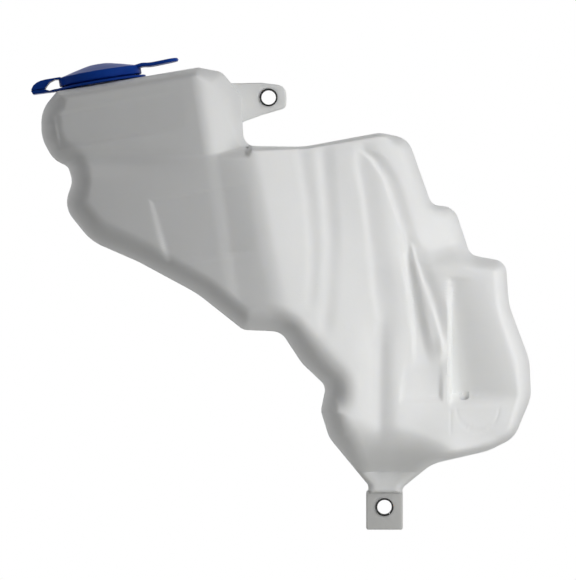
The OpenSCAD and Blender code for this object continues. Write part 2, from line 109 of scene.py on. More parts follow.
# %% [markdown]
# ## The outline of the tank
#
# A blow-moulded tank is two half moulds pinched together in one plane, so its outline in that
# plane is the best thing to draw first. Tracing it as one long list of points would be dull and
# hard to change. Instead it is two chains of corners, left and right, each corner with its round,
# and a formula draws the arcs. Each corner also has a section number, so a straight chord can
# join the left and the right edge at the same number, and the width of the soft round that the
# wall makes as it turns into the parting plane.

# %% Two chains of corners
# x, z, corner radius, section number, width of the edge's round, all but the number in mm
HEAD_TOP_X, HEAD_TOP_Z, NECK_TILT = -115, 272, math.radians(9.4)


def head_top(x):
    """Height of the head's straight top, which falls to the left."""
    return HEAD_TOP_Z - (HEAD_TOP_X - x) * math.tan(NECK_TILT)


LEFT = [
    (-202.5, head_top(-202.5), 3, 0, 8), (-212.4, 246, 20, 1, 14), (-212.5, 229, 24, 2, 16),
    (-205, 215.5, 18, 3, 16), (-196, 211.3, 5, 3.5, 15), (-193, 202, 12, 4, 15),
    (-198.5, 186, 16, 4.7, 16), (-181.7, 165, 31, 5.6, 16), (-152.3, 152.2, 74, 6.7, 15),
    (-116, 132.6, 74, 8, 14), (-87.5, 110, 8, 9, 14), (-64, 109, 11, 9.6, 18),
    (-51.2, 89.5, 25, 10.2, 22), (-36, 75, 7, 11, 21), (-39.2, 59.5, 8, 12, 15),
    (-34, 43, 18, 13.2, 18), (-9.7, 13.5, 4, 15.5, 6), (-9.7, 8.2, 0, 16, 3),
]
RIGHT = [
    (HEAD_TOP_X, HEAD_TOP_Z, 5, 0, 8), (-101, 269.5, 8, 0.7, 12), (-89, 255, 10, 1.5, 14),
    (-87.5, 223.5, 8, 3.6, 5), (-50.5, 223, 56, 5.2, 3), (-3, 231.8, 16, 7, 3.5),
    (14.4, 228.3, 13, 7.8, 9), (29.1, 187, 7, 9, 9), (43.2, 185.6, 10, 9.5, 11),
    (53, 156, 8, 10.2, 11), (74.9, 152, 8, 10.8, 10), (77, 125, 37, 11.4, 10),
    (89.7, 91, 31, 12.2, 11), (90.6, 68, 20, 12.8, 10), (80.3, 43, 17, 13.6, 8),
    (64, 34.9, 37, 14, 7), (29.5, 27, 25, 14.8, 7), (10.9, 12, 4, 15.5, 6), (10.9, 8.2, 0, 16, 3),
]
LAST_SECTION = 16
ARC_STEPS = 8


def corner_arc(before, corner, after):
    """The rounded corner as rows of x, z, round width and section number."""
    p, a, b = (np.array(c[:2], float) for c in (corner, before, after))
    la, lb = np.linalg.norm(a - p), np.linalg.norm(b - p)
    ua, ub = (a - p) / la, (b - p) / lb
    half = math.acos(np.clip(ua @ ub, -1, 1)) / 2
    cut = min(corner[2] / math.tan(half), la / 2, lb / 2)
    radius = cut * math.tan(half)
    centre = p + (ua + ub) / np.linalg.norm(ua + ub) * radius / math.sin(half)
    start, end = p + ua * cut - centre, p + ub * cut - centre
    turn = (math.pi - 2 * half) * np.sign(start[0] * end[1] - start[1] * end[0])
    number_a = corner[3] + (before[3] - corner[3]) * cut / la
    number_b = corner[3] + (after[3] - corner[3]) * cut / lb
    rows = []
    for step in range(ARC_STEPS + 1):
        f = step / ARC_STEPS
        c, s = math.cos(turn * f), math.sin(turn * f)
        rows.append((centre[0] + start[0] * c - start[1] * s, centre[1] + start[0] * s + start[1] * c,
                     corner[4], number_a + (number_b - number_a) * f))
    return rows


def rounded_edge(chain):
    """A whole edge with every inner corner rounded."""
    rows = [(*chain[0][:2], chain[0][4], chain[0][3])]
    for i in range(1, len(chain) - 1):
        rows += corner_arc(chain[i - 1], chain[i], chain[i + 1])
    rows.append((*chain[-1][:2], chain[-1][4], chain[-1][3]))
    return np.array(rows)


left_edge, right_edge = rounded_edge(LEFT), rounded_edge(RIGHT)
outline = np.vstack([left_edge, right_edge[::-1]])[:, :3]
print("outline:", len(outline), "points, width", round(np.ptp(outline[:, 0]), 1), "mm")

# %% [markdown]
# ## How deep the walls stand
#
# On the real tank the front stands out from the parting plane as a flat left panel, a ridge, and
# a flank that falls away to the right with flutes, a channel, a valley and the recess for a pump.
# Sculpting that by hand could not be repeated. So the depth is written as a height field: a
# function of x and z that blends planes with a soft minimum, and adds each flute, groove and
# field by name.

# %% Soft blends
def soft_min(a, b, k):
    """The lower of two heights, with the crease between them rounded where they differ by under k."""
    h = np.maximum(k - np.abs(a - b), 0) / k
    return np.minimum(a, b) - h * h * k / 4


def soft_max(a, b, k):
    """The higher of two heights, with the same soft crease."""
    return -soft_min(-a, -b, k)


def soft_step(v):
    """A step from 0 to 1 that starts and ends gently."""
    c = np.clip(v, 0, 1)
    return c * c * (3 - 2 * c)


def between(z, low, high, ends):
    """On between two heights, with soft ends."""
    return soft_step((z - low) / ends) * soft_step((high - z) / ends)


def bell(distance, width):
    """A bump of height 1 that is about 1.7 widths across at half its height."""
    return np.exp(-(distance / width) ** 2)


def at_height(z, line):
    """The x of a line given as (height, x) pairs, at each height."""
    heights, places = zip(*line)
    return np.interp(z, heights, places)


print("two equal heights of 10 mm blended over 4 mm give", soft_min(10.0, 10.0, 4.0), "mm")

# %% The large planes and ridges
FRONT_DEPTH, BACK_DEPTH, TOWER_DEPTH, EAR_T = 58, 34, 29, 6
EDGE_POWER = 2.2
BODY_TOP_Z, BODY_TOP_ROUND = 223, 10
# The ridge's place near its top, its lean, and the x at which the flank beside it ends
RIDGE_X, RIDGE_Z, RIDGE_LEAN, FLANK_END_X = -82, 208, 0.205, -5


def round_off(u):
    """The soft round from the parting plane to full depth, a little squarer than a circle."""
    return (1 - (1 - np.clip(u, 0, 1)) ** EDGE_POWER) ** (1 / EDGE_POWER)


def panel(x, z):
    """The flat left panel, which faces a little to the left and stands back at its foot."""
    return FRONT_DEPTH + 0.155 * (x - RIDGE_X) + 0.05 * (z - RIDGE_Z)


def head_form(x, z):
    """The head: the panel, and a side that falls steeply to the right of its ridge."""
    ridge = -111 + 0.13 * (HEAD_TOP_Z - z)
    return soft_min(panel(x, z), FRONT_DEPTH - 4 - 0.95 * (x - ridge), 8)


def right_form(x, z):
    """The lower right: a gentle slope, a shoulder, and the tower that holds the pump's recess."""
    gentle = FRONT_DEPTH - 16 - 0.2 * (x + 50)
    shoulder = FRONT_DEPTH - 28.5 - 0.5 * (x - 12)
    tower = TOWER_DEPTH * soft_step((176 - z) / 29)
    return soft_max(soft_min(gentle, shoulder, 6), tower, 9)


def body_form(x, z):
    """The panel meets the flank in a ridge that leans to the right on its way down."""
    down = RIDGE_Z - z
    ridge = RIDGE_X + RIDGE_LEAN * down
    height = FRONT_DEPTH - 0.018 * down
    slope = (34.65 - 0.144 * down) / (FLANK_END_X - ridge)
    flank = height - slope * (x - ridge)
    return soft_min(panel(x, z), soft_max(flank, right_form(x, z), 4), 4)


def main_form(x, z):
    """The head above the body. Right of the head, the body's top edge is left to the outline."""
    top = BODY_TOP_Z + 60 * soft_step((x + 85) / 15)
    return soft_max(head_form(x, z), body_form(x, z) * round_off((top - z) / BODY_TOP_ROUND), 4)


print("the ridge stands", round(float(main_form(-80.0, 200.0)), 1), "mm in front of the parting plane")

# %% [markdown]
# The flutes stiffen the thin wall. In the picture each one is a narrow bright line with a darker
# band to its right: the wall drops at the line and then comes back slowly, like the teeth of a
# saw. A function of the distance to each line gives that. The channel starts at the last flute
# and ends in a raised lip, so it is drawn between three lines of its own.

# %% Flutes, channel, waist and valley
# Each flute: its line as (height, x), then how far the wall drops, the widths of the drop and of
# the return, and the height of the flute's foot
FLUTES = [
    ([(121, -50), (134, -48), (159, -47.4), (172, -48.7), (190, -50), (203, -52.4), (218, -54.5)],
     1.2, 3.0, 9, 120),
    ([(107, -41), (128, -38.8), (165, -36.9), (190, -38.8), (215, -41)], 1.2, 4.5, 9, 104),
    ([(100, -7), (116, -4.7), (134, -7.8), (165, -10.9), (190, -14), (212, -18.3)], 1.3, 4, 14, 100),
    ([(84, 14.6), (91, 17.5), (110, 17), (128, 15.2), (141, 12.7), (152, 10.9), (162.4, 11.5),
      (175, 8.4), (190, 3.4), (203, -0.9), (215, -9), (220, -15)], 2.0, 3.0, 10, 100),
]
FLUTE_TOP = 227
CHANNEL_DEPTH = 2.4
CHANNEL_RISE = [(92, 24.5), (103.5, 21.8), (128, 17.8), (153, 14)]
CHANNEL_RIM = [(92, 31.5), (103.5, 29.5), (128, 22.6), (153, 17.7)]
LIP = [(90, 33.8), (96, 36.3), (103.5, 35), (113, 32.5), (125, 28.8), (141, 22.9), (156, 18.3), (166, 15.8)]


def tooth(x, line_x, drop, width, back):
    """The wall drops at the line over a width and comes back slowly to the right of it."""
    d = x - line_x
    return drop * soft_step(0.5 + d / width) * (1 - soft_step((d - width / 2) / back))


def flutes(x, z):
    """The four flutes and the raised lip beside the channel."""
    total = tooth(x, at_height(z, LIP), 1.3, 2.6, 8) * between(z, 88, 168, 8)
    for line, drop, width, back, foot in FLUTES:
        total = total + tooth(x, at_height(z, line), drop, width, back) * between(z, foot, FLUTE_TOP, 12)
    return total


def channel(x, z):
    """A trough from the last flute to a wall that rises to the lip."""
    low, high = at_height(z, CHANNEL_RISE), at_height(z, CHANNEL_RIM)
    left = soft_step(0.5 + (x - at_height(z, FLUTES[3][0])) / 3.2)
    return CHANNEL_DEPTH * left * (1 - soft_step((x - low) / (high - low))) * between(z, 86, 172, 16)


WAIST_Z, VALLEY_X, KNOB_X, KNOB_Z = 213, -4.5, 34.6, 100


def sunk(x, z):
    """All that dips below the large planes, less the small knob beside the channel."""
    waist = 4 * bell(z - WAIST_Z, 6) * soft_step((-115 - x) / 60)
    valley = 4 * bell(x - VALLEY_X, 7) * between(z, 26, 122, 26)
    knob = 1.2 * bell(x - KNOB_X, 3) * bell(z - KNOB_Z, 6)
    return flutes(x, z) + channel(x, z) + waist + valley - knob


print(len(FLUTES), "flutes, the deepest", max(flute[1] for flute in FLUTES), "mm")

# %% [markdown]
# Two bare fields are sunk a little into the panel. A field is a four-sided shape: the distance
# to its nearest side gives a drafted wall of even width. On such a tank a small pump stands in a
# recess on the lower right and plugs into the shelf below it. The recess could be cut with a box,
# but its floor runs out softly to the right, so it is one more term of the height field.

# %% Sunk fields, the pump's recess and the bowl
UPPER_LABEL = [(-199.3, 221.4), (-121.8, 233.2), (-125.6, 255.4), (-203, 241.8)]
LOWER_LABEL = [(-133, 150.7), (-79, 158.1), (-84.6, 198.4), (-143.5, 189.1)]
POCKET = [(9.5, 66.5), (34, 67.5), (35, 102), (13.5, 102)]


def inside(x, z, corners):
    """Distance in from the nearest side of a convex field, anticlockwise, negative outside."""
    nearest = None
    for (ax, az), (bx, bz) in zip(corners, corners[1:] + corners[:1]):
        length = math.hypot(bx - ax, bz - az)
        d = ((bx - ax) * (z - az) - (bz - az) * (x - ax)) / length
        nearest = d if nearest is None else np.minimum(nearest, d)
    return nearest


def field(x, z, corners, depth, draft):
    """A sunk field of even depth whose wall takes the width draft."""
    return depth * soft_step(0.5 + inside(x, z, corners) / draft)


def label(x, z, corners):
    """A label field, which is deepest at its lower left and runs out flush at its right end."""
    (x0, z0), (x1, _), (_, z1) = corners[0], corners[1], corners[2]
    across, up = np.clip((x - x0) / (x1 - x0), 0, 1), np.clip((z - z0) / (z1 - z0), 0, 1)
    return field(x, z, corners, 1.6, 2.4) * (1 - across ** 3) * (1 - 0.6 * up)


SHELF_Z, RECESS_TOP, RECESS_X, RECESS_WALL = 66, 142, 38.2, 3.2


def recess(x, z):
    """The pump's recess: a steep left wall, a floor that runs out to the right, and a shelf."""
    down = np.clip((RECESS_TOP - z) / (RECESS_TOP - SHELF_Z), 0, 1)
    deep = 2.2 + 12.8 * down
    out = 60 + 26 * down
    floor = np.clip((out - x) / (out - RECESS_X - 3), 0, 1) ** 1.5
    wall = soft_step((x - RECESS_X) / RECESS_WALL)
    shelf = soft_step((z - SHELF_Z + 3) / 8)
    top = soft_step((RECESS_TOP + 1.5 - z) / 4)
    return deep * soft_min(floor, wall, 0.2) * shelf * top


SEAT_X, SEAT_Z, SEAT_R = 56.7, 61.4, 13


def fine_marks(x, z):
    """The shallow marks of the mould: the ring round the pump's seat and a short joint line."""
    radius = np.hypot(x - SEAT_X, z - SEAT_Z)
    ring = 0.35 * bell(radius - SEAT_R, 0.7) * soft_step((64 - z) / 4)
    line = 0.3 * bell(x - 40, 0.8) * between(z, 45, 62, 4)
    return ring + line


def bowl(x, z):
    """The wall swells a little below the shelf."""
    return 3.5 * soft_step((SHELF_Z + 4 - z) / 22) * soft_step((x - 14) / 30)


print("the recess is", round(float(recess(50.0, 75.0)), 1), "mm deep near its shelf")

# %% [markdown]
# The lower end is where the parison, the hot tube of plastic, was pinched flat. The walls round in
# from both sides to a low wedge, and the flat tab hangs from it. A bevel on a finished mesh could
# not make a round this large, so it is the last term of the depth.

# %% The whole front and back
TAB_ROOT_Z, ROOT_SLOPE, ROOT_WEDGE = 22, 1.15, 4
# The crest of the ridge is eased to this depth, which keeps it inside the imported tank
CREST = FRONT_DEPTH - 1.1


def bottom(depth, x, z):
    """Rounds a wall off into the tab's root, a low wedge that is thickest at its foot."""
    least = EAR_T / 2 + 0.3 + ROOT_WEDGE * (1 - soft_step((z - 8) / 17))
    full = depth - least
    way = ROOT_SLOPE * np.maximum(0, z - TAB_ROOT_Z) + 0.6 * soft_max(0, np.abs(x) - 18, 16)
    u = np.clip(way / full, 0, 1)
    return least + full * (1 - (1 - u) ** 2)


def front(x, z):
    """How far the front stands out from the parting plane."""
    depth = main_form(x, z) + bowl(x, z) - sunk(x, z) - recess(x, z)
    depth = depth - label(x, z, UPPER_LABEL) - label(x, z, LOWER_LABEL)
    depth = depth - field(x, z, POCKET, 2.0, 3.0) * soft_step((92 - z) / 22) - fine_marks(x, z)
    return bottom(soft_min(depth, CREST, 2), x, z)


def back(x, z):
    """How far the back stands out: plain, with two shallow grooves that stiffen it."""
    groove = np.maximum(bell(z - 96 - 0.1 * x, 6), bell(z - 150 - 0.1 * x, 6))
    return bottom(BACK_DEPTH - 2.5 * groove, x, z)


def edge_depth(x, z, inset):
    """0 on the outline (moved in by inset), 1 or more where the wall has its full depth."""
    nearest = np.full(x.shape, 1e9)
    for (ax, az, aw), (bx, bz, bw) in zip(outline, np.roll(outline, -1, axis=0)):
        dx, dz = bx - ax, bz - az
        k = np.clip(((x - ax) * dx + (z - az) * dz) / max(1e-9, dx * dx + dz * dz), 0, 1)
        gap = np.hypot(x - ax - k * dx, z - az - k * dz)
        width = np.maximum(1, aw + (bw - aw) * k - inset)
        nearest = np.minimum(nearest, (gap - inset) / width)
    return nearest


print("front depth on the panel:", round(float(front(np.array(-100.0), np.array(180.0))), 1), "mm")

# %% [markdown]
# ## Skinning the tank
#
# The shell is a loft: each section is a chord from the left edge to the right edge, lifted by the
# front depth on one side and the back depth on the other. A regular grid of points could not
# follow the outline cleanly, and a voxel remesh would blur the flutes. On chords, the points lie
# along the outline by themselves. They crowd together at both ends, where the wall turns fastest.
# The back needs only half as many points, so its faces share every second point of the edge.

# %% Loft a closed shell from chords
def chord_places(count, zone_count, zone):
    """Shares along a chord from 0 to 1: count points, zone_count of them crowded at each end."""
    crowd = (np.arange(zone_count) / zone_count) ** 1.8 * zone
    middle = np.linspace(zone, 1 - zone, count - 2 * zone_count)
    return np.concatenate([crowd, middle, 1 - crowd[::-1]])


def edge_points(numbers, edge):
    """Places on an edge at the given section numbers."""
    return np.stack([np.interp(numbers, edge[:, 3], edge[:, k]) for k in (0, 1)], 1)


def loft(name, numbers, count, front_depth, back_depth, starts=None, ends=None):
    """A closed shell over the given section numbers, with an odd count of points on each chord."""
    a = edge_points(numbers, left_edge) if starts is None else starts
    b = edge_points(numbers, right_edge) if ends is None else ends
    length = np.linalg.norm(b - a, axis=1)
    rows = len(numbers)
    share = np.array([chord_places(count, count // 8, min(0.3, 15 / d)) for d in length])
    x = a[:, :1] + (b - a)[:, :1] * share
    z = a[:, 1:] + (b - a)[:, 1:] * share
    front_y, back_y = -front_depth(x, z), back_depth(x, z)
    for side in (front_y, back_y):
        side[[0, -1], :] = 0
        side[:, [0, -1]] = 0
    half = count // 2 + 1
    points = np.stack([x, front_y, z], -1).reshape(-1, 3)
    inner = np.stack([x, back_y, z], -1)[1:-1, 2:-2:2].reshape(-1, 3)

    def back_index(r, j):
        if r in (0, rows - 1) or j in (0, half - 1):
            return r * count + 2 * j
        return rows * count + (r - 1) * (half - 2) + j - 1

    faces = [(r * count + j, (r + 1) * count + j, (r + 1) * count + j + 1, r * count + j + 1)
             for r in range(rows - 1) for j in range(count - 1)]
    for r in range(rows - 1):
        for j in range(half - 1):
            loop = [back_index(r, j), back_index(r, j + 1), back_index(r + 1, j + 1), back_index(r + 1, j)]
            if r == 0:
                loop.insert(1, 2 * j + 1)
            if r == rows - 2:
                loop.insert(len(loop) - 1, (rows - 1) * count + 2 * j + 1)
            faces.append(loop)
    return solid(name, np.vstack([points, inner]), faces)


print("shares of a chord with nine points:", chord_places(9, 2, 0.2).round(2))

# %% The outside of the shell
# The first rows crowd at the flat top, where the wall turns fastest. The others are spaced partly
# by section number and partly by the length of edge between them, so no stretch gets too few.
FRONT_COLUMNS, EVEN_ROWS, LENGTH_SHARE = 225, 252, 0.3
START_ROWS = [0, 0.004, 0.012, 0.026, 0.045, 0.07, 0.1]
fine = np.linspace(0.14, LAST_SECTION, 2000)
steps = [np.linalg.norm(np.diff(edge_points(fine, edge), axis=0), axis=1) for edge in (left_edge, right_edge)]
way_down = np.concatenate([[0], np.cumsum(np.maximum(*steps))])
spread = LENGTH_SHARE * way_down / way_down[-1] + (1 - LENGTH_SHARE) * np.linspace(0, 1, len(fine))
outer_numbers = np.concatenate([START_ROWS, np.interp(np.linspace(0, 1, EVEN_ROWS), spread, fine)])


def outer_wall(depth):
    """A wall's outside: its depth, rounded off into the parting plane."""
    return lambda x, z: depth(x, z) * round_off(edge_depth(x, z, 0))


tank = loft("tank_shell", outer_numbers, FRONT_COLUMNS, outer_wall(front), outer_wall(back))

# %% [markdown]
# The inside matters too: with the cap open one looks down the neck into a hollow, and light that
# enters the translucent wall leaves it again inside. The cavity is a second, coarser loft, a wall's
# thickness further in. It keeps clear of the flutes by taking the lowest depth nearby.

# %% Loft the cavity
WALL, LOOK = 2.5, 4
INNER_FIRST, INNER_LAST, THINNEST = 0.45, 14.6, 0.1


def lowest(depth, x, z):
    """The lowest depth within LOOK mm of a place."""
    return np.min([depth(x + i * LOOK, z + j * LOOK) for i in (-1, 0, 1) for j in (-1, 0, 1)], axis=0)


def walk_in(a, b):
    """Moves the chord's start in until it lies a wall inside the outline."""
    unit = (b - a) / np.linalg.norm(b - a, axis=1, keepdims=True)
    along = np.full(len(a), float(WALL))
    for _ in range(12):
        p = a + unit * along[:, None]
        along += 8 * np.maximum(0, 0.02 - edge_depth(p[:, 0], p[:, 1], WALL))
    return a + unit * along[:, None]


def inner_wall(depth):
    """A wall's inside. It never thins to nothing, so the cavity stays a closed shell."""
    return lambda x, z: (np.maximum(THINNEST, lowest(depth, x, z) - WALL)
                         * np.maximum(THINNEST, round_off(edge_depth(x, z, WALL))))


inner_numbers = np.concatenate([[INNER_FIRST, INNER_FIRST + 0.08], np.linspace(0.7, INNER_LAST, 70)])
chord_a, chord_b = edge_points(inner_numbers, left_edge), edge_points(inner_numbers, right_edge)
cavity = loft("cavity", inner_numbers, 49, inner_wall(front), inner_wall(back),
              walk_in(chord_a, chord_b), walk_in(chord_b, chord_a))

# %% [markdown]
# ## Neck, ears and holes
#
# The neck and the two fixing ears are moulded in one with the shell, so they are joined to it by
# booleans and not left as loose pieces. Each is first drawn with its own soft edges: the neck is
# turned, and the ears are flat plates with rounded rims.

# %% Turned shapes, sweeps and plates
def turn(name, profile, steps=96):
    """A closed shape of revolution about Z from (radius, height) rows, from axis to axis."""
    points, faces = [], []
    for k in range(steps):
        c, s = math.cos(2 * math.pi * k / steps), math.sin(2 * math.pi * k / steps)
        points += [(r * c, r * s, h) for r, h in profile]
    n = len(profile)
    for k in range(steps):
        a, b = k * n, (k + 1) % steps * n
        faces += [(a + i, b + i, b + i + 1, a + i + 1) for i in range(n - 1)]
    return solid(name, points, faces)


def sweep(name, sections):
    """A closed skin over a row of closed sections with the same count of points, capped at its ends."""
    n, last = len(sections[0]), (len(sections) - 1) * len(sections[0])
    faces = [(i * n + j, i * n + (j + 1) % n, (i + 1) * n + (j + 1) % n, (i + 1) * n + j)
             for i in range(len(sections) - 1) for j in range(n)]
    faces += [list(range(n))[::-1], list(range(last, last + n))]
    return solid(name, [point for section in sections for point in section], faces)


def round_corners(points, radii, steps=6):
    """A closed outline with its corners replaced by arcs."""
    out = []
    for i, p in enumerate(points):
        p = np.array(p, float)
        a, b = np.array(points[i - 1], float), np.array(points[(i + 1) % len(points)], float)
        la, lb = np.linalg.norm(a - p), np.linalg.norm(b - p)
        ua, ub = (a - p) / la, (b - p) / lb
        half = math.acos(np.clip(ua @ ub, -1, 1)) / 2
        cut = min(radii[i] / math.tan(half), la * 0.49, lb * 0.49)
        for step in range(steps + 1):
            f = step / steps
            out.append(p + ua * cut * (1 - f) ** 2 + ub * cut * f ** 2)
    return np.array(out)


def plate(name, outline_xz, thickness, rim):
    """A flat plate across Y whose edge is rounded by rim on both faces."""
    pts = np.asarray(outline_xz, float)
    before, after = np.roll(pts, 1, axis=0), np.roll(pts, -1, axis=0)
    along = after - before
    along /= np.linalg.norm(along, axis=1, keepdims=True)
    area = np.sum(pts[:, 0] * after[:, 1] - pts[:, 1] * after[:, 0])
    inward = np.stack([-along[:, 1], along[:, 0]], 1) * np.sign(area)
    layers = []
    for angle in np.linspace(0, math.pi / 2, 5):
        layers.append((rim * (1 - math.cos(angle)), thickness / 2 - rim + rim * math.sin(angle)))
    layers = [(inset, -y) for inset, y in reversed(layers)] + layers
    return sweep(name, [[(p[0], y, p[1]) for p in pts + inward * inset] for inset, y in layers])


print("a square with round corners:", len(round_corners([(0, 0), (9, 0), (9, 9), (0, 9)], [2] * 4)), "points")

# %% Places that the neck, the cap and the sleeves share
NECK_X, SEAT_GAP = -175.5, 0.1
NECK = Vector((NECK_X, 0, head_top(NECK_X) + SEAT_GAP)) * MM
LOWER_HOLE, UPPER_HOLE = Vector((0, 0, 0)), Vector((-71.8, 0, 253.8)) * MM
OUTLET, OUTLET_R = Vector((48.9, -20.75, SHELF_Z)) * MM, 3


def to_neck(thing):
    """Moves a shape drawn about Z onto the tilted neck."""
    mesh = thing.data
    co = np.empty(len(mesh.vertices) * 3)
    mesh.vertices.foreach_get("co", co)
    x, y, z = co.reshape(-1, 3).T
    c, s = math.cos(NECK_TILT), math.sin(NECK_TILT)
    turned = np.stack([c * x - s * z + NECK.x, y, s * x + c * z + NECK.z], 1)
    mesh.vertices.foreach_set("co", turned.ravel())
    mesh.update()
    return thing


def shift(thing, offset):
    """Moves a piece inside its mesh, so its object stays at the origin."""
    thing.data.transform(Matrix.Translation(offset))
    return thing


def drill(target, at, radius, length, direction="Y"):
    """Cuts a round hole of a real size, in mm, centred on a place in metres."""
    bit = turn("bit", [(0, -length / 2), (radius, -length / 2), (radius, length / 2), (0, length / 2)], 64)
    if direction == "Y":
        bit.data.transform(Matrix.Rotation(math.pi / 2, 4, "X"))
    shift(bit, at)
    combine(target, bit, "DIFFERENCE")


print("neck at", [round(v / MM, 1) for v in NECK], "mm")

# %% Join and cut
NECK_BORE, NECK_WALL, NECK_H = 34, 2.6, 6.2
SLEEVE_OD, SLEEVE_BORE, SLEEVE_LEN, SLEEVE_GAP = 11, 9, 8, 0.05
THROUGH = 16
neck_r = NECK_BORE / 2 + NECK_WALL

upper_ear = plate("upper_ear", round_corners(
    [(-99, 262.5), (-76, 262.9), (-60.8, 261), (-60.8, 247.5), (-76, 243), (-87, 239), (-99, 232)],
    [2, 8, 7, 4, 8, 6, 2]), EAR_T, 1.2)
lower_tab = plate("lower_tab", round_corners(
    [(-11.3, -14), (11.3, -14), (11.3, 9.6), (9.6, 12), (9.6, 25), (-8.4, 25), (-8.4, 12), (-11.3, 9.6)],
    [1.4, 1.4, 2, 1, 2, 2, 1, 2]), EAR_T, 1.0)
neck = to_neck(turn("neck", [(0, -4), (neck_r, -4), (neck_r, NECK_H - 0.6), (neck_r - 0.6, NECK_H),
                             (0, NECK_H)]))
for piece in (upper_ear, lower_tab, neck):
    combine(tank, piece, "UNION")
combine(tank, cavity, "DIFFERENCE")
throat = to_neck(turn("throat", [(0, -THROUGH), (NECK_BORE / 2, -THROUGH), (NECK_BORE / 2, 8), (0, 8)]))
combine(tank, throat, "DIFFERENCE")
for hole in (LOWER_HOLE, UPPER_HOLE):
    drill(tank, hole, SLEEVE_OD / 2 + SLEEVE_GAP, THROUGH)
drill(tank, OUTLET, OUTLET_R, 12, "Z")
smooth(tank, 38)
print("tank:", len(tank.data.polygons), "faces")

# %% [markdown]
# ## The flip cap
#
# The real cap is one injection moulding in blue polypropylene: a collar that clips round the neck,
# a lid with a low dome and a finger tab, and a thin film that folds between them. Moulded pieces
# have no sharp edges, so each profile is drawn with its corners rounded before it is turned.

# %% Round a profile's corners
def soft_profile(rows, radius, steps=4):
    """Rows of (radius, height), rounded at every inner corner by up to the given radius."""
    out = [np.array(rows[0], float)]
    for i in range(1, len(rows) - 1):
        p, a, b = (np.array(rows[k], float) for k in (i, i - 1, i + 1))
        la, lb = np.linalg.norm(a - p), np.linalg.norm(b - p)
        cut = min(radius, la * 0.45, lb * 0.45)
        pa, pb = p + (a - p) / la * cut, p + (b - p) / lb * cut
        for f in np.linspace(0, 1, steps + 1):
            out.append((1 - f) ** 2 * pa + 2 * f * (1 - f) * p + f * f * pb)
    out.append(np.array(rows[-1], float))
    return [tuple(p) for p in out]


def ring(name, rows, radius, steps=128):
    """A closed ring about Z from a profile that is a loop away from the axis."""
    closed = rows + rows[:2]
    profile = soft_profile(closed, radius)[1:-1]
    points, faces, n = [], [], len(profile)
    for k in range(steps):
        c, s = math.cos(2 * math.pi * k / steps), math.sin(2 * math.pi * k / steps)
        points += [(r * c, r * s, h) for r, h in profile]
    for k in range(steps):
        a, b = k * n, (k + 1) % steps * n
        faces += [(a + i, b + i, b + (i + 1) % n, a + (i + 1) % n) for i in range(n)]
    return solid(name, points, faces)


def strip(name, top, bottom, half_width, rim, steps=40):
    """A bar across Y between a top and a bottom line of (x, height), with rounded long edges."""
    def resample(line):
        line = np.array(line, float)
        along = np.concatenate([[0], np.cumsum(np.linalg.norm(np.diff(line, axis=0), axis=1))])
        t = np.linspace(0, along[-1], steps)
        return np.stack([np.interp(t, along, line[:, 0]), np.interp(t, along, line[:, 1])], 1)
    up, down = resample(top), resample(bottom)
    middle, lift = (up + down) / 2, (up - down) / 2
    upper = [(-(half_width - rim + rim * math.sin(a)), math.cos(a)) for a in np.linspace(math.pi / 2, 0, 5)]
    upper += [(-y, c) for y, c in reversed(upper)]
    loop = upper + [(y, -c) for y, c in reversed(upper)][1:-1]
    sections = []
    for m, l in zip(middle, lift):
        size = max(0.05, np.linalg.norm(l))
        section = []
        for y, c in loop:
            keep = 1 - min(1, rim / size) * (1 - abs(c))
            k = math.copysign(keep, c) if abs(c) > 0.001 else 0
            section.append((m[0] + l[0] * k, y, m[1] + l[1] * k))
        sections.append(section)
    return sweep(name, sections)


print("a square corner rounded by 1 mm has", len(soft_profile([(0, 0), (5, 0), (5, 5)], 1)), "points")

# %% The collar and its leaf of the hinge
COLLAR_GAP, COLLAR_WALL, FLANGE_R, FLANGE_T = 0.1, 2.2, 28, 1.4
HINGE_X, HINGE_Z, HINGE_W, RUN_GAP = -43.4, 2.7, 14, 0.3
LOOP_LEN = -HINGE_X - FLANGE_R
collar_r = neck_r + COLLAR_GAP

collar = ring("cap_collar_shape", [
    (collar_r, 0), (FLANGE_R, 0), (FLANGE_R, FLANGE_T), (collar_r + COLLAR_WALL, FLANGE_T),
    (collar_r + COLLAR_WALL, NECK_H), (collar_r, NECK_H)], 0.45)


def leaf(points):
    """Places a leaf's points, given as shares of the way from the fold to the flange."""
    return [(HINGE_X + share * LOOP_LEN, height) for share, height in points]


SKIRT_Z, RIM_Z = 2.4, 7.6
UNDER, OVER = HINGE_Z - RUN_GAP / 2, HINGE_Z + RUN_GAP / 2
low_leaf = plate("low_leaf", leaf([(0, UNDER), (0.05, 0.5), (0.85, 0.05), (1.2, 0.05), (1.2, FLANGE_T),
                                   (0.93, FLANGE_T), (0.73, 1.0), (0.58, 2.2), (0.52, UNDER)]), HINGE_W, 0.2)
combine(collar, low_leaf, "UNION")
smooth(to_neck(collar), 40)
print("collar:", len(collar.data.polygons), "faces")

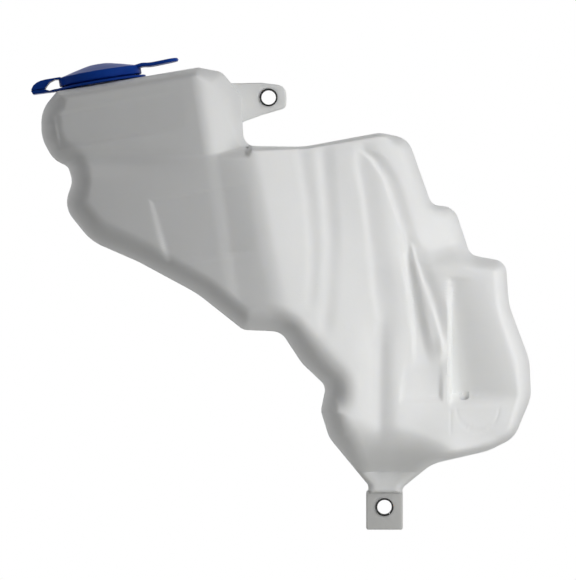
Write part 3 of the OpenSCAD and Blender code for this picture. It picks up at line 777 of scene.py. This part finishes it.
# %% The lid with its dome, tab and leaf
LID_R, LID_WALL, DOME_H = 25.75, 1.6, 5
plug_r = NECK_BORE / 2 - RUN_GAP
lid_rows = [
    (0, RIM_Z + DOME_H - 1.8), (LID_R * 0.3, RIM_Z + 2.6), (plug_r - LID_WALL, RIM_Z),
    (plug_r - LID_WALL, 1.2), (plug_r, 2.0), (plug_r, NECK_H + RUN_GAP), (LID_R - LID_WALL, NECK_H + RUN_GAP),
    (LID_R - LID_WALL, SKIRT_Z), (LID_R, SKIRT_Z), (LID_R, RIM_Z), (LID_R * 0.86, RIM_Z + DOME_H * 0.16),
    (LID_R * 0.6, RIM_Z + DOME_H * 0.52), (LID_R * 0.32, RIM_Z + DOME_H * 0.86),
    (LID_R * 0.2, RIM_Z + DOME_H * 0.97), (0, RIM_Z + DOME_H)]
lid = turn("cap_lid_shape", soft_profile(lid_rows, 0.7), 160)


TAB_START, TAB_END, TAB_HALF, TAB_ROUND, TAB_HALF_T = 20, 49.7, 10, 7, 1.1
ACROSS = [-1, -0.995, -0.97, -0.9, -0.6, -0.3, 0, 0.3, 0.6, 0.9, 0.97, 0.995, 1]


def tab_height(x):
    """The tab's top: it rises a little behind the rim and again towards its end."""
    return RIM_Z + 0.4 + 0.6 * bell(x - 27, 3) + 0.45 * soft_step((x - 32) / 16)


def quarter_round(distance, radius):
    """The height of a quarter round, from 0 at its rim to 1 at the radius and beyond."""
    return math.sqrt(max(0, 1 - max(0, 1 - distance / radius) ** 2))


def tab_section(x):
    """The tab's section across at x, round at both sides."""
    half = max(0.6, TAB_HALF * quarter_round(TAB_END - x, TAB_ROUND))
    end = quarter_round(TAB_END - x, TAB_HALF_T)
    section = []
    for side, shares in ((1, ACROSS), (-1, ACROSS[::-1][1:-1])):
        for share in shares:
            thick = TAB_HALF_T * min(end, quarter_round(half - abs(share) * half, TAB_HALF_T))
            section.append((x, share * half, tab_height(x) - TAB_HALF_T + side * thick))
    return section


tab = sweep("tab", [tab_section(x) for x in np.linspace(TAB_START, TAB_END, 46)])
leaf_under = leaf([(0.04, OVER), (0.56, OVER), (0.64, 4.3), (0.78, NECK_H), (1, 7.3)])
leaf_root = [(LID_WALL - LID_R, 6.9), (LID_WALL - LID_R, RIM_Z + 0.7)]
leaf_top = leaf([(0.66, RIM_Z + 0.7), (0.44, 8), (0.28, 7.3), (0.12, 5.8), (0.01, 3.5)])
high_leaf = plate("high_leaf", leaf_under + leaf_root + leaf_top, HINGE_W, 0.25)
for piece in (tab, high_leaf):
    combine(lid, piece, "UNION")
smooth(to_neck(lid), 40)
print("lid:", len(lid.data.polygons), "faces")

# %% [markdown]
# The film of the living hinge is a fraction of a millimetre thick. It belongs to both halves of
# the cap.

# %% The living hinge's film
FILM_REACH, FILM_BOW, FILM_FACES = 0.35, 0.1, (0.05, 0.5)


def film_side(offset):
    """One face of the film: a line up through the fold that bows a little outwards."""
    return [(HINGE_X + offset + bow, HINGE_Z + rise)
            for bow, rise in ((FILM_BOW, FILM_REACH), (0, 0), (FILM_BOW, -FILM_REACH))]


film = strip("hinge_film", *[film_side(offset) for offset in FILM_FACES], HINGE_W / 2 - 0.6, 0.15, 12)
smooth(to_neck(film), 40)
print("film:", 2 * FILM_REACH, "mm high and", FILM_FACES[1] - FILM_FACES[0], "mm thick")

# %% [markdown]
# ## Steel sleeves
#
# Each sleeve is rolled from strip, so it has a narrow slit where the ends meet, and the shearing
# leaves a small bevel. A slit ring drawn as a profile swept nearly all the way round shows both.

# %% Roll the sleeves
SLIT = math.radians(3.2)


def rolled_sleeve(name, at, slit_deg):
    """A tube along Y, rolled from strip, with its slit at the given angle from +X towards +Z."""
    outer, inner, half, bevel = SLEEVE_OD / 2, SLEEVE_BORE / 2, SLEEVE_LEN / 2, 0.22
    section = soft_profile([(inner, 0), (inner, half), (outer, half), (outer, -half), (inner, -half),
                            (inner, 0)], bevel, 3)[:-1]
    start = math.radians(slit_deg) + SLIT / 2
    angles = start + np.linspace(0, 2 * math.pi - SLIT, 121)
    sleeve = sweep(name, [[(r * math.cos(a), h, r * math.sin(a)) for r, h in section] for a in angles])
    smooth(shift(sleeve, at), 40)
    return sleeve


lower_sleeve = rolled_sleeve("lower_sleeve_shape", LOWER_HOLE, -52)
upper_sleeve = rolled_sleeve("upper_sleeve_shape", UPPER_HOLE, 150)
print("sleeves:", len(lower_sleeve.data.polygons), "and", len(upper_sleeve.data.polygons), "faces")

# %% [markdown]
# ## The parting line
#
# Where the two half moulds meet they leave a fine bead all round. It follows the outline, so
# Geometry Nodes sweep a small round section along that curve. Its size and spacing are named
# inputs of the group and can be changed without touching the path.

# %% A node group that sweeps a bead along a path
def add_node(tree, kind, settings=None, **inputs):
    """Adds a node, sets its properties, and links or sets its inputs by name, or as _0 by place."""
    node = tree.nodes.new(kind)
    for key, value in (settings or {}).items():
        setattr(node, key, value)
    for key, value in inputs.items():
        socket = node.inputs[int(key[1:]) if key[1:].isdigit() else key.replace("_", " ")]
        if isinstance(value, bpy.types.NodeSocket):
            tree.links.new(value, socket)
        else:
            socket.default_value = value
    return node


BEAD_R, BEAD_SPACING, BEAD_INSET = 0.4, 1.5, 0.15


def bead_group(material):
    """A tree that sweeps a round section along a path of edges."""
    tree = bpy.data.node_groups.new("Parting bead", "GeometryNodeTree")
    sockets = tree.interface
    sockets.new_socket("Path", in_out="INPUT", socket_type="NodeSocketGeometry")
    for title, value in (("Bead radius", BEAD_R), ("Spacing", BEAD_SPACING)):
        socket = sockets.new_socket(title, in_out="INPUT", socket_type="NodeSocketFloat")
        socket.default_value = value * MM
    sockets.new_socket("Bead", in_out="OUTPUT", socket_type="NodeSocketGeometry")
    given = add_node(tree, "NodeGroupInput")
    curve = add_node(tree, "GeometryNodeMeshToCurve", Mesh=given.outputs["Path"])
    even = add_node(tree, "GeometryNodeResampleCurve", {"mode": "LENGTH"}, Curve=curve.outputs[0],
                    Length=given.outputs["Spacing"])
    section = add_node(tree, "GeometryNodeCurvePrimitiveCircle", Resolution=8,
                       Radius=given.outputs["Bead radius"])
    swept = add_node(tree, "GeometryNodeCurveToMesh", Curve=even.outputs[0], Profile_Curve=section.outputs[0])
    real = add_node(tree, "GeometryNodeRealizeInstances", Geometry=swept.outputs[0])
    painted = add_node(tree, "GeometryNodeSetMaterial", Geometry=real.outputs[0], Material=material)
    out = add_node(tree, "NodeGroupOutput")
    tree.links.new(painted.outputs[0], out.inputs["Bead"])
    print("bead group:", [node.bl_label for node in tree.nodes])
    return tree


def bake(thing, tree, values):
    """Runs a node group on an object and keeps the result as a plain mesh."""
    modifier = thing.modifiers.new("nodes", "NODES")
    modifier.node_group = tree
    for item in tree.interface.items_tree:
        if item.item_type == "SOCKET" and item.in_out == "INPUT" and item.name in values:
            modifier[item.identifier] = values[item.name]
    bpy.context.view_layer.update()
    done = thing.evaluated_get(bpy.context.evaluated_depsgraph_get())
    mesh = bpy.data.meshes.new_from_object(done)
    thing.modifiers.remove(modifier)
    old = thing.data
    thing.data = mesh
    bpy.data.meshes.remove(old)
    return thing


# %% [markdown]
# ## Finishes
#
# Each finish is procedural and sized in real millimetres. Colours are written as the sRGB values
# that one reads off a screen, and turned to linear light by one function. An image texture could
# not be sized so surely.

# %% Colour and material helpers
def srgb(code):
    """A colour like "3f62b0" as linear RGBA."""
    parts = [int(code[i:i + 2], 16) / 255 for i in (0, 2, 4)]
    return (*[p / 12.92 if p <= 0.04045 else ((p + 0.055) / 1.055) ** 2.4 for p in parts], 1)


def finish(name, colours, rough, pattern_mm, bump_mm, subsurface=0, shine=0.5, painted_shade_below=None):
    """A finish from two colours mixed by soft noise, with a satin relief of a real height.

    The slow noise gives the uneven wall or coating that tells the eye a real process made it.
    The fine relief breaks up the highlight, so it reads as moulded or rolled and not as glass.
    Below the height in the last argument, in mm, the third colour is painted shade: the solid tab
    there has no lit hollow behind it and gets less light, so it is painted greyer.
    """
    material = bpy.data.materials.new(name)
    material.use_nodes = True
    tree = material.node_tree
    tree.nodes.clear()
    place = add_node(tree, "ShaderNodeTexCoord").outputs["Object"]
    slow = add_node(tree, "ShaderNodeTexNoise", Vector=place, Scale=1 / (pattern_mm[0] * MM), Detail=2.0)
    fine = add_node(tree, "ShaderNodeTexNoise", Vector=place, Scale=1 / (pattern_mm[1] * MM), Detail=3.0)
    tone = add_node(tree, "ShaderNodeMix", {"data_type": "RGBA"}, Factor=slow.outputs[0])
    tone.inputs[6].default_value = srgb(colours[0])
    tone.inputs[7].default_value = srgb(colours[1])
    colour = tone.outputs[2]
    # Painted shade: below the given height the colour turns to the third, greyer one
    if painted_shade_below is not None:
        height = add_node(tree, "ShaderNodeSeparateXYZ", Vector=place).outputs["Z"]
        part = add_node(tree, "ShaderNodeMapRange", Value=height, From_Min=(painted_shade_below + 1) * MM,
                        From_Max=(painted_shade_below - 1) * MM)
        painted_tab_shade = add_node(tree, "ShaderNodeMix", {"data_type": "RGBA"}, Factor=part.outputs[0])
        tree.links.new(colour, painted_tab_shade.inputs[6])
        painted_tab_shade.inputs[7].default_value = srgb(colours[2])
        colour = painted_tab_shade.outputs[2]
    level = add_node(tree, "ShaderNodeMapRange", Value=fine.outputs[0], To_Min=rough[0], To_Max=rough[1])
    relief = add_node(tree, "ShaderNodeBump", Height=fine.outputs[0], Distance=bump_mm * MM, Strength=1.0)
    shader = add_node(tree, "ShaderNodeBsdfPrincipled", Base_Color=colour, Roughness=level.outputs[0],
                      Normal=relief.outputs[0], Specular_IOR_Level=float(shine))
    shader.inputs["Subsurface Weight"].default_value = subsurface
    shader.inputs["Subsurface Radius"].default_value = (1.0, 0.95, 0.85)
    shader.inputs["Subsurface Scale"].default_value = 4 * MM
    add_node(tree, "ShaderNodeOutputMaterial", Surface=shader.outputs[0])
    return material


print("middle grey 808080 is", round(srgb("808080")[0], 3), "in linear light")

# %% [markdown]
# The tank is natural high-density polyethylene, blow moulded: light enters the thin wall and
# scatters, so the eye sees a soft milky white with no hard highlight. The cap is injection moulded
# polypropylene with the colour in it, which the eye sees as an even satin blue. The sleeves are
# rolled steel, finished nearly black and dull.

# %% The finishes of the pieces
TAB_TOP_Z = 9.5
# The third colour, dadad8, is painted shade that greys the solid tab below TAB_TOP_Z
natural_hdpe = finish("natural_hdpe_blow_moulded", ("f4f5f3", "fbfbfa", "dadad8"), (0.42, 0.55), (30, 1.6),
                      0.03, subsurface=0.35, painted_shade_below=TAB_TOP_Z)
# The white surround would grey the dome's grazing reflection, so the blue keeps little sheen
blue_pp = finish("blue_polypropylene_moulded", ("1640a4", "2054bc"), (0.3, 0.42), (12, 0.8),
                 0.012, shine=0.04)
dark_steel = finish("dark_rolled_steel", ("0d0d0e", "1b1b1c"), (0.35, 0.55), (3, 0.5),
                    0.01, shine=0.3)
print("finishes:", [material.name for material in (natural_hdpe, blue_pp, dark_steel)])

# %% Sweep the bead along the outline
# The outline runs down the left edge and up the right one, so the tank lies to the left of its way
along = (np.roll(outline, -1, axis=0) - np.roll(outline, 1, axis=0))[:, :2]
inward = np.stack([-along[:, 1], along[:, 0]], 1)
inward /= np.maximum(1e-9, np.linalg.norm(inward, axis=1, keepdims=True))
path = outline[:, :2] + inward * BEAD_INSET
path_mesh = bpy.data.meshes.new("parting_path")
path_mesh.from_pydata([(x * MM, 0, z * MM) for x, z in path],
                      [(i, (i + 1) % len(path)) for i in range(len(path))], [])
parting_line = bake(new_object("parting_line", path_mesh), bead_group(natural_hdpe),
                    {"Bead radius": BEAD_R * MM, "Spacing": BEAD_SPACING * MM})
smooth(parting_line, 60)
print("parting line:", len(parting_line.data.polygons), "faces")

# %% [markdown]
# ## Bodies
#
# Every piece but the film is tied to the body that carries it, so the lid swings with its joint.
# The film is tied to neither body. A film that rode on one body would tear from the other as the
# lid opens.

# %% Tie the pieces to their bodies
for thing, material, slot_name, node in (
        (tank, natural_hdpe, "tank_hdpe", "tank"), (parting_line, natural_hdpe, "tank_hdpe", None),
        (collar, blue_pp, "cap_blue", "cap_collar"), (lid, blue_pp, "cap_blue", "cap_lid"),
        (film, blue_pp, "cap_blue", None), (lower_sleeve, dark_steel, "sleeve_steel", "lower_sleeve"),
        (upper_sleeve, dark_steel, "sleeve_steel", "upper_sleeve")):
    thing.data.materials.clear()
    thing.data.materials.append(material)
    if node:
        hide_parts(node)
    if thing is film:
        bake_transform(film)
    else:
        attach(thing, "lid" if thing is lid else "tank")

# %% [markdown]
# ## Stage, light and camera
#
# The stage is a plain white sheet. The camera and the reflections see it as white, while the
# object gets its light from the lamps and a weak fill. The key lamp stands close on the right, as
# in the photo, where the flanks that face right are nearly white and the panels that face left are
# mid grey. The lamps together are kept at a level at which white plastic doesn't clip.

# %% Stage and world
def white_to_camera(tree, seen, light):
    """Shows plain white to the camera and in reflections, and the given shader to other rays."""
    path = add_node(tree, "ShaderNodeLightPath")
    either = path.outputs["Is Camera Ray"]
    for kind in ("Is Glossy Ray", "Is Transmission Ray"):
        more = add_node(tree, "ShaderNodeMath", {"operation": "MAXIMUM"}, _0=either, _1=path.outputs[kind])
        either = more.outputs[0]
    return add_node(tree, "ShaderNodeMixShader", Fac=either, _1=light.outputs[0], _2=seen.outputs[0])


FLOOR_HALF, FLOOR_Z = 3, -0.03
floor_mesh = bpy.data.meshes.new("stage_floor")
corners = [(x * FLOOR_HALF, y * FLOOR_HALF, FLOOR_Z) for x, y in ((-1, -1), (1, -1), (1, 1), (-1, 1))]
floor_mesh.from_pydata(corners, [], [(0, 1, 2, 3)])
floor = new_object("stage_floor", floor_mesh)
# Matt white paper, which has no sheen and throws a soft light back at the undersides
paper = bpy.data.materials.new("white_paper_sweep")
paper.use_nodes = True
paper.node_tree.nodes.clear()
white = add_node(paper.node_tree, "ShaderNodeEmission", Color=(1, 1, 1, 1), Strength=1.0)
matt = add_node(paper.node_tree, "ShaderNodeBsdfDiffuse", Color=srgb("e6e6e4"))
mixed = white_to_camera(paper.node_tree, white, matt)
add_node(paper.node_tree, "ShaderNodeOutputMaterial", Surface=mixed.outputs[0])
floor_mesh.materials.append(paper)

world = bpy.data.worlds.new("studio")
world.use_nodes = True
world.node_tree.nodes.clear()
sky_seen = add_node(world.node_tree, "ShaderNodeBackground", Color=(1, 1, 1, 1), Strength=1.0)
sky_fill = add_node(world.node_tree, "ShaderNodeBackground", Color=(0.97, 0.98, 1, 1), Strength=0.09)
sky = white_to_camera(world.node_tree, sky_seen, sky_fill)
add_node(world.node_tree, "ShaderNodeOutputWorld", Surface=sky.outputs[0])
bpy.context.scene.world = world
print("world fill:", round(sky_fill.inputs["Strength"].default_value, 2))


# %% Lamps
def softbox(name, at, towards, size, power):
    """An area light of a size in metres and a power in watts that faces a point."""
    lamp = bpy.data.lights.new(name, "AREA")
    lamp.shape, lamp.size, lamp.size_y, lamp.energy = "RECTANGLE", size[0], size[1], power
    thing = bpy.data.objects.new(name, lamp)
    bpy.context.scene.collection.objects.link(thing)
    thing.location = at
    thing.rotation_euler = (Vector(towards) - Vector(at)).to_track_quat("-Z", "Y").to_euler()


BODY_MIDDLE = (0, 0, 0.15)
softbox("key_near_right", (0.30, -0.40, 0.12), (0.04, -0.03, 0.12), (0.3, 0.4), 1.22)
softbox("key_high_right", (0.42, -0.30, 0.60), BODY_MIDDLE, (0.3, 0.3), 1.07)
softbox("fill_top", (0.10, -0.30, 0.60), BODY_MIDDLE, (0.3, 0.3), 0.1)
softbox("rim_left", (-1.3, -0.05, 0.55), (-0.1, 0, 0.15), (0.7, 0.7), 1.2)
print("lamps:", round(sum(lamp.energy for lamp in bpy.data.lights), 2), "W in all")

# %% Camera
# The photo looks square at the parting plane from far off, so a long lens keeps its proportions
camera_data = bpy.data.cameras.new("camera")
camera = bpy.data.objects.new("camera", camera_data)
bpy.context.scene.collection.objects.link(camera)
VIEW_WIDTH, VIEW_DISTANCE = 0.3596, 3.0
camera_data.sensor_width = 36
camera_data.lens = 36 * VIEW_DISTANCE / VIEW_WIDTH
camera_data.clip_end = 20
camera.location = (-0.0598, -VIEW_DISTANCE, 0.1345)
camera.rotation_euler = (math.radians(90), 0, 0)
bpy.context.scene.camera = camera
bpy.context.scene.view_settings.view_transform = "Standard"
print("lens:", round(camera_data.lens), "mm at", VIEW_DISTANCE, "m")
